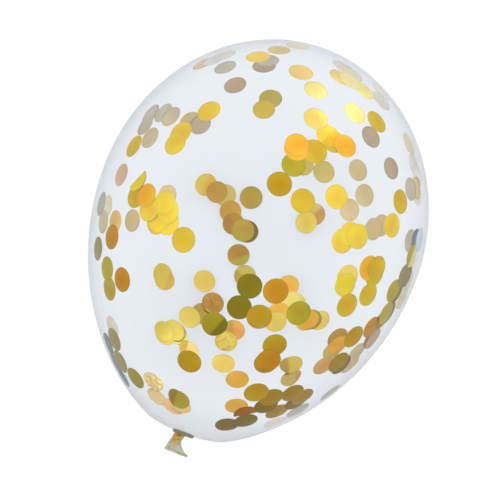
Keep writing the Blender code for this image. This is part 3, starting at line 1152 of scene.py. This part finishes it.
NEAR_NECK = [
    ("dark_gold", 5.0, -14.4), ("bronze", 6.44, -14.36), ("bronze", 8.1, -13.33), ("bronze", 9.05, -13.35),
    ("umber", 8.7, -14.0), ("dark_bronze", 6.25, -15.2), ("bronze", 7.4, -15.4),
    ("rust", 4.85, -16.6, "folded", 110, None), ("dark_bronze", 5.05, -17.15), ("dark_bronze", 3.6, -18.1),
    ("drab", -8.6, -14.4), ("drab", -7.4, -16.08), ("moss", -5.6, -16.98), ("slate", -8.95, -15.0),
    ("slate", -7.75, -16.4), ("slate", -6.75, -17.3), ("smoke", 9.15, -14.6),
]
near_entries = NEAR_CROWN + NEAR_FLANKS + NEAR_LEFT_PATCH + NEAR_TAPER + NEAR_NECK
near_discs = [Disc(*entry) for entry in near_entries]
print(len(near_discs), "discs on the near wall")

# %% Discs on the far wall
FAR_CROWN = [
    ("oat", -2.4, 15.9), ("champagne", -3.83, 15.0), ("mauve", -4.6, 13.2), ("grey", -4.45, 13.8),
    ("rose", -9.75, 11.5), ("silver", -9.0, 12.15), ("silver", -8.3, 12.83), ("grey", -7.82, 11.87),
    ("mauve", -6.42, 10.68), ("khaki", -3.02, 10.66), ("straw", -3.25, 9.55), ("silver", 2.1, 15.6),
    ("oat", 3.1, 15.3), ("pearl", 6.0, 14.7), ("silver", 6.35, 13.95), ("pearl", 7.9, 13.8),
    ("mauve", 6.6, 10.6), ("mauve", 9.28, 8.6), ("taupe", 6.55, 7.4), ("oat", 10.0, 11.2),
    ("pearl", 11.1, 9.6), ("pearl", 11.7, 8.8), ("pearl", 12.3, 7.3), ("champagne", 12.05, 7.75),
    ("grey", 11.62, 7.5),
]
FAR_FLANKS = [
    ("taupe", -9.1, 6.2), ("mauve", -8.1, 6.3), ("grey", -12.6, 5.6), ("grey", -12.7, 4.5),
    ("grey", -11.6, 6.1), ("beige", -10.85, 6.05), ("beige", -11.9, 3.6), ("rose", -13.15, -0.4),
    ("oat", -13.35, -3.5), ("beige", -13.2, -4.9), ("taupe", -10.8, -3.9), ("peach_straw", -12.2, -4.5),
    ("champagne", -8.65, -0.7), ("khaki", 1.78, 6.13, "flat", 180, "corn"), ("khaki", 3.75, 6.2),
    ("taupe", 7.1, 3.8), ("taupe", 7.9, 5.5), ("taupe", 10.25, 3.5), ("taupe", 9.7, 2.95),
    ("grey", 13.12, 3.12), ("silver", 14.05, 1.6), ("beige", 14.28, -0.4), ("beige", 14.3, -2.0),
]
FAR_MIDDLE_CHAIN = [
    ("straw", -5.75, 1.42, "flat", 0, "warm_straw"), ("khaki", -3.8, 1.15), ("tan", -4.6, 1.15),
    ("tan", -2.85, -0.05), ("copper", -2.2, -1.0), ("brass", -1.55, 1.75), ("dusk", -0.82, -1.22),
    ("brass", -1.2, -1.25), ("copper", -0.8, -3.45, "creased", -50, "reed"),
    ("brass", 0.4, -5.0, "flat", 70, "hay"), ("khaki", 4.3, 2.35, "flat", -25, "fawn"),
    ("straw", 3.85, 1.4),
]
FAR_TAPER = [
    ("apricot", 4.33, -4.47), ("lemon_straw", 5.45, -5.75), ("lemon_straw", 5.0, -5.75),
    ("apricot", 4.4, -7.05), ("straw", 4.4, -7.9), ("lemon_straw", 8.05, -6.4), ("straw", 6.95, -6.85),
    ("brass", 7.28, -6.62), ("apricot", 7.1, -6.67), ("tan", 10.1, -7.3), ("khaki", 10.08, -8.5),
    ("apricot", 10.38, -7.9), ("salmon", 9.8, -10.08), ("beige", 12.15, -7.85), ("beige", 12.0, -9.1),
    ("straw", -6.55, -7.45), ("straw", -6.3, -7.85, "creased", 0, "wheat"), ("straw", -2.85, -6.7),
    ("brass", -1.95, -9.5), ("copper", -1.45, -8.3, "crumpled", 0, "caramel"), ("straw", -2.97, -10.2),
    ("tan", 1.15, -9.9, "flat", 20, "orange_tan"), ("straw", 0.85, -11.1, "crumpled", 0, "sand"),
]
FAR_NECK = [
    ("lemon_straw", -3.5, -12.0), ("brass", -3.66, -11.83), ("straw", -3.86, -11.78),
    ("straw", -4.5, -12.48), ("straw", -4.7, -12.2),
    ("peach_straw", -2.0, -13.0, "creased", 180, "bright_honey"), ("honey_straw", 1.33, -13.0),
    ("apricot", 3.0, -13.9), ("khaki", 7.5, -12.1, "creased", 0, "pale_apricot"),
    ("straw", 7.1, -11.0, "creased", 200, "dull_straw"), ("apricot", 3.75, -16.15),
    ("champagne", -4.0, -16.75, "crumpled", 0, "vanilla"), ("champagne", -3.2, -17.9),
    ("peach_foil", -1.5, -18.2), ("peach_straw", -1.0, -17.9), ("silver", -9.15, -13.4),
    ("grey", 9.0, -14.7), ("silver", 7.5, -16.3),
]
far_entries = FAR_CROWN + FAR_FLANKS + FAR_MIDDLE_CHAIN + FAR_TAPER + FAR_NECK
far_discs = [Disc(*entry) for entry in far_entries]
print(len(far_discs), "discs on the far wall")

# %% [markdown]
# The near and the far discs are two pieces. The side that the photograph does not show gets a tone drawn by
# a seeded dice, so that the same balloon comes out each time. The layers for the tone and the rim are made
# before any vertex, because a bmesh loses hold of its vertices when a layer is added later.

# %% Lay all the discs
CENTIMETRE = 0.01


def lay_discs(name, discs, wall, seed):
    dice = random.Random(seed)
    shape = bmesh.new()
    layers = shape.loops.layers.float_color.new("foil_tone_with_painted_reflection"), shape.verts.layers.float.new("foil_rim")
    laid = []
    for disc in discs:
        place, normal = wall_under(disc.across * CENTIMETRE, disc.along * CENTIMETRE, wall)
        under = [level for other, level in laid if (other - place).length < 2 * DISC_RADIUS]
        level = max(under, default=-1) + 1
        laid.append((place, level))
        # The tones looked up or drawn here carry painted reflections as well as the foil's colour.
        unseen_outer = dice.choice(list(OUTER_TONES_WITH_PAINTED_REFLECTION.values()))
        unseen_inner = dice.choice(list(INNER_TONES_WITH_PAINTED_REFLECTION.values()))
        outer = OUTER_TONES_WITH_PAINTED_REFLECTION.get(disc.tone, unseen_outer)
        inner = INNER_TONES_WITH_PAINTED_REFLECTION.get(disc.tone, unseen_inner)
        tones = outer, inner, outer if wall == "near" else inner
        rings = disc_rings(disc, place, normal, dice)
        lay_disc(shape, layers, rings, level, tones, FLAP_PAINTED_REFLECTION_TONES.get(disc.flap_tone))
    add_piece(name, finished_mesh(name, shape), foil)
    print(len(laid), "discs, deepest stack", max(level for _, level in laid) + 1)


lay_discs("near_wall_confetti", near_discs, "near", seed=4)
lay_discs("far_wall_confetti", far_discs, "far", seed=9)

# %% [markdown]
# ## The end
# The scene is brought up to date.

# %% Finish
bpy.context.view_layer.update()
